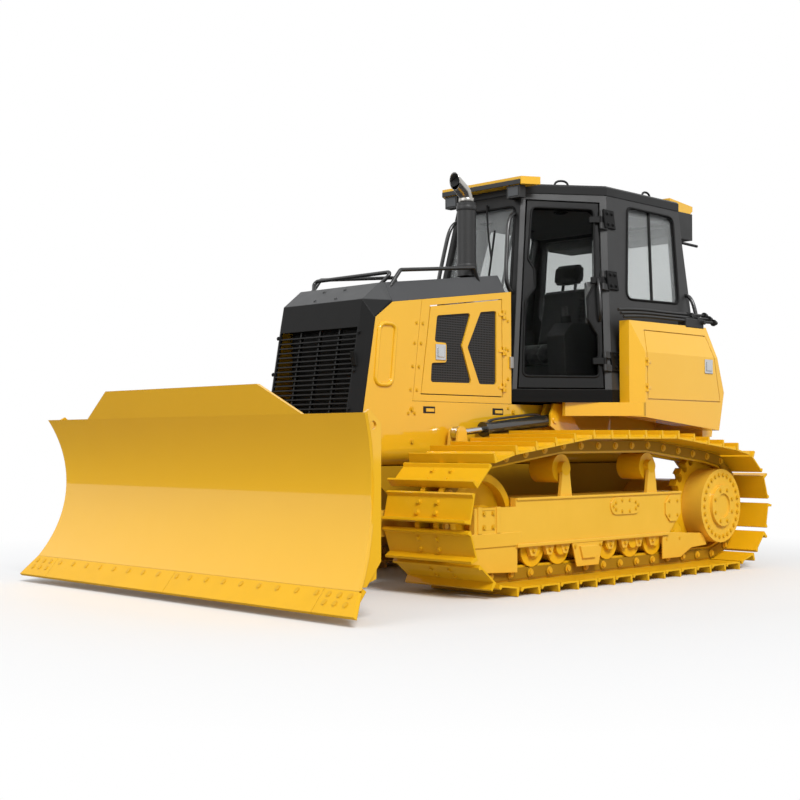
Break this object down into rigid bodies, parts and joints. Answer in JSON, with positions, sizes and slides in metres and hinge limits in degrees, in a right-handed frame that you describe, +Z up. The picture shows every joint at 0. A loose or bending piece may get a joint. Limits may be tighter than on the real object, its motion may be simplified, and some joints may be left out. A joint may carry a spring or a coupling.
{
  "type": "bulldozer",
  "caption": "Crawler bulldozer on wide tracks, with an enclosed cab and a blade that lifts, angles and tilts on a C-shaped push frame.",
  "frame": {"origin": "middle of the bounding box on the ground, under the grousers", "axes": "+Z up; the machine faces -Y; +X is the driver's left"},
  "size_m": [3.228, 4.6173, 2.815],
  "materials": {
    "yellow": "satin",
    "charcoal": "satin",
    "black_steel": "matte",
    "track_steel": "satin",
    "chrome": "polished",
    "glass": "polished",
    "seat_fabric": "matte",
    "interior_plastic": "matte",
    "lamp": "gloss"
  },
  "bodies": {
    "chassis": {"belly": "black_steel", "cab_floor": "charcoal", "cab_front": "charcoal", "cab_glass": "glass", "cab_rear": "charcoal", "cab_roof": "charcoal", "cab_sides": "charcoal", "carrier_rollers": "track_steel", "consoles": "yellow", "control_consoles": "interior_plastic", "engine": "black_steel", "exhaust_elbow": "chrome", "exhaust_stack": "charcoal", "final_drives": "yellow", "fuel_tank": "yellow", "grille": "black_steel", "handrails": "black_steel", "hood_sides": "yellow", "hood_top": "charcoal", "hull": "yellow", "idler_blocks": "track_steel", "idlers": "track_steel", "lift_brackets": "yellow", "mask": "charcoal", "platform": "yellow", "radiator": "black_steel", "seat": "seat_fabric", "sprockets": "yellow", "track_frames": "yellow", "track_left": "track_steel", "track_right": "track_steel", "track_rollers": "track_steel", "visors": "yellow", "work_lamps": "lamp"},
    "push_frame": {"push_frame": "yellow"},
    "yoke": {"yoke": "yellow"},
    "blade": {"blade": "yellow", "cutting_edge": "yellow"},
    "cab_door_left": {"cab_door_left": "charcoal", "door_glass_left": "glass"},
    "engine_door_left": {"engine_door_left": "yellow", "door_mesh_left": "black_steel"},
    "console_door_left": {"console_door_left": "yellow"},
    "lift_barrel_left": {"lift_barrel_left": "black_steel"},
    "lift_rod_left": {"lift_rod_left": "chrome"},
    "angle_barrel_left": {"angle_barrel_left": "black_steel"},
    "angle_rod_left": {"angle_rod_left": "chrome"},
    "cab_door_right": {"cab_door_right": "charcoal", "door_glass_right": "glass"},
    "engine_door_right": {"engine_door_right": "yellow", "door_mesh_right": "black_steel"},
    "console_door_right": {"console_door_right": "yellow"},
    "lift_barrel_right": {"lift_barrel_right": "black_steel"},
    "lift_rod_right": {"lift_rod_right": "chrome"},
    "angle_barrel_right": {"angle_barrel_right": "black_steel"},
    "angle_rod_right": {"angle_rod_right": "chrome"},
    "tilt_barrel": {"tilt_barrel": "black_steel"},
    "tilt_rod": {"tilt_rod": "chrome"}
  },
  "joints": [
    {"name": "blade_lift", "type": "hinge", "parent": "chassis", "child": "push_frame", "pos_m": [0, 0.79, 0.42], "axis": [1, 0, 0], "range_deg": [-16.5, 8]},
    {"name": "blade_angle", "type": "hinge", "parent": "push_frame", "child": "yoke", "pos_m": [0, -1.74, 0.51], "axis": [0, 0, 1], "range_deg": [-25, 25]},
    {"name": "blade_tilt", "type": "hinge", "parent": "yoke", "child": "blade", "pos_m": [0, -1.84, 0.51], "axis": [0, 1, 0], "range_deg": [-8, 8]},
    {"name": "lift_barrel_left", "type": "hinge", "parent": "chassis", "child": "lift_barrel_left", "pos_m": [0.535, 0.595, 1.07], "axis": [1, 0, 0], "range_deg": [-21.03, 10.79]},
    {"name": "lift_rod_left", "type": "slide", "parent": "lift_barrel_left", "child": "lift_rod_left", "axis": [0, -0.9953, -0.0967], "range_m": [-0.18652, 0.09146]},
    {"name": "angle_barrel_left", "type": "hinge", "parent": "push_frame", "child": "angle_barrel_left", "pos_m": [0.55, -1.18, 0.62], "axis": [0, 0, 1], "range_deg": [-5.76, 5.76]},
    {"name": "angle_rod_left", "type": "slide", "parent": "angle_barrel_left", "child": "angle_rod_left", "axis": [-0.3363, -0.9417, 0], "range_m": [-0.13567, 0.13567]},
    {"name": "lift_barrel_right", "type": "hinge", "parent": "chassis", "child": "lift_barrel_right", "pos_m": [-0.535, 0.595, 1.07], "axis": [1, 0, 0], "range_deg": [-21.03, 10.79]},
    {"name": "lift_rod_right", "type": "slide", "parent": "lift_barrel_right", "child": "lift_rod_right", "axis": [0, -0.9953, -0.0967], "range_m": [-0.18652, 0.09146]},
    {"name": "angle_barrel_right", "type": "hinge", "parent": "push_frame", "child": "angle_barrel_right", "pos_m": [-0.55, -1.18, 0.62], "axis": [0, 0, 1], "range_deg": [-5.76, 5.76]},
    {"name": "angle_rod_right", "type": "slide", "parent": "angle_barrel_right", "child": "angle_rod_right", "axis": [0.3363, -0.9417, 0], "range_m": [-0.13567, 0.13567]},
    {"name": "tilt_barrel", "type": "hinge", "parent": "yoke", "child": "tilt_barrel", "pos_m": [0.25, -1.905, 0.8], "axis": [0, 1, 0], "range_deg": [-6.56, 6.56]},
    {"name": "tilt_rod", "type": "slide", "parent": "tilt_barrel", "child": "tilt_rod", "axis": [-0.9962, 0, 0.0866], "range_m": [-0.04535, 0.04535]},
    {"name": "cab_door_left", "type": "hinge", "parent": "chassis", "child": "cab_door_left", "pos_m": [0.75599, 0.92528, 2.02364], "axis": [-0.1361, 0.1466, 0.9798], "range_deg": [0, 95]},
    {"name": "engine_door_left", "type": "hinge", "parent": "chassis", "child": "engine_door_left", "pos_m": [0.458, 0.192, 1.5], "axis": [0, 0, 1], "range_deg": [0, 85]},
    {"name": "console_door_left", "type": "hinge", "parent": "chassis", "child": "console_door_left", "pos_m": [1.0485, 1.05, 1.4], "axis": [0, 0, -1], "range_deg": [0, 85]},
    {"name": "cab_door_right", "type": "hinge", "parent": "chassis", "child": "cab_door_right", "pos_m": [-0.75599, 0.92528, 2.02364], "axis": [-0.1361, -0.1466, -0.9798], "range_deg": [0, 95]},
    {"name": "engine_door_right", "type": "hinge", "parent": "chassis", "child": "engine_door_right", "pos_m": [-0.458, 0.192, 1.5], "axis": [0, 0, -1], "range_deg": [0, 85]},
    {"name": "console_door_right", "type": "hinge", "parent": "chassis", "child": "console_door_right", "pos_m": [-1.0485, 1.05, 1.4], "axis": [0, 0, 1], "range_deg": [0, 85]}
  ],
  "couplings": [
    {"joint": "lift_barrel_left", "follows": "blade_lift", "ratio": 1.2051},
    {"joint": "lift_rod_left", "follows": "blade_lift", "m_per_rad": 0.64073},
    {"joint": "angle_barrel_left", "follows": "blade_angle", "ratio": -0.18466},
    {"joint": "angle_rod_left", "follows": "blade_angle", "m_per_rad": -0.30634},
    {"joint": "lift_barrel_right", "follows": "blade_lift", "ratio": 1.2051},
    {"joint": "lift_rod_right", "follows": "blade_lift", "m_per_rad": 0.64073},
    {"joint": "angle_barrel_right", "follows": "blade_angle", "ratio": -0.18466},
    {"joint": "angle_rod_right", "follows": "blade_angle", "m_per_rad": 0.30634},
    {"joint": "tilt_barrel", "follows": "blade_tilt", "ratio": 0.67648},
    {"joint": "tilt_rod", "follows": "blade_tilt", "m_per_rad": -0.31045}
  ]
}
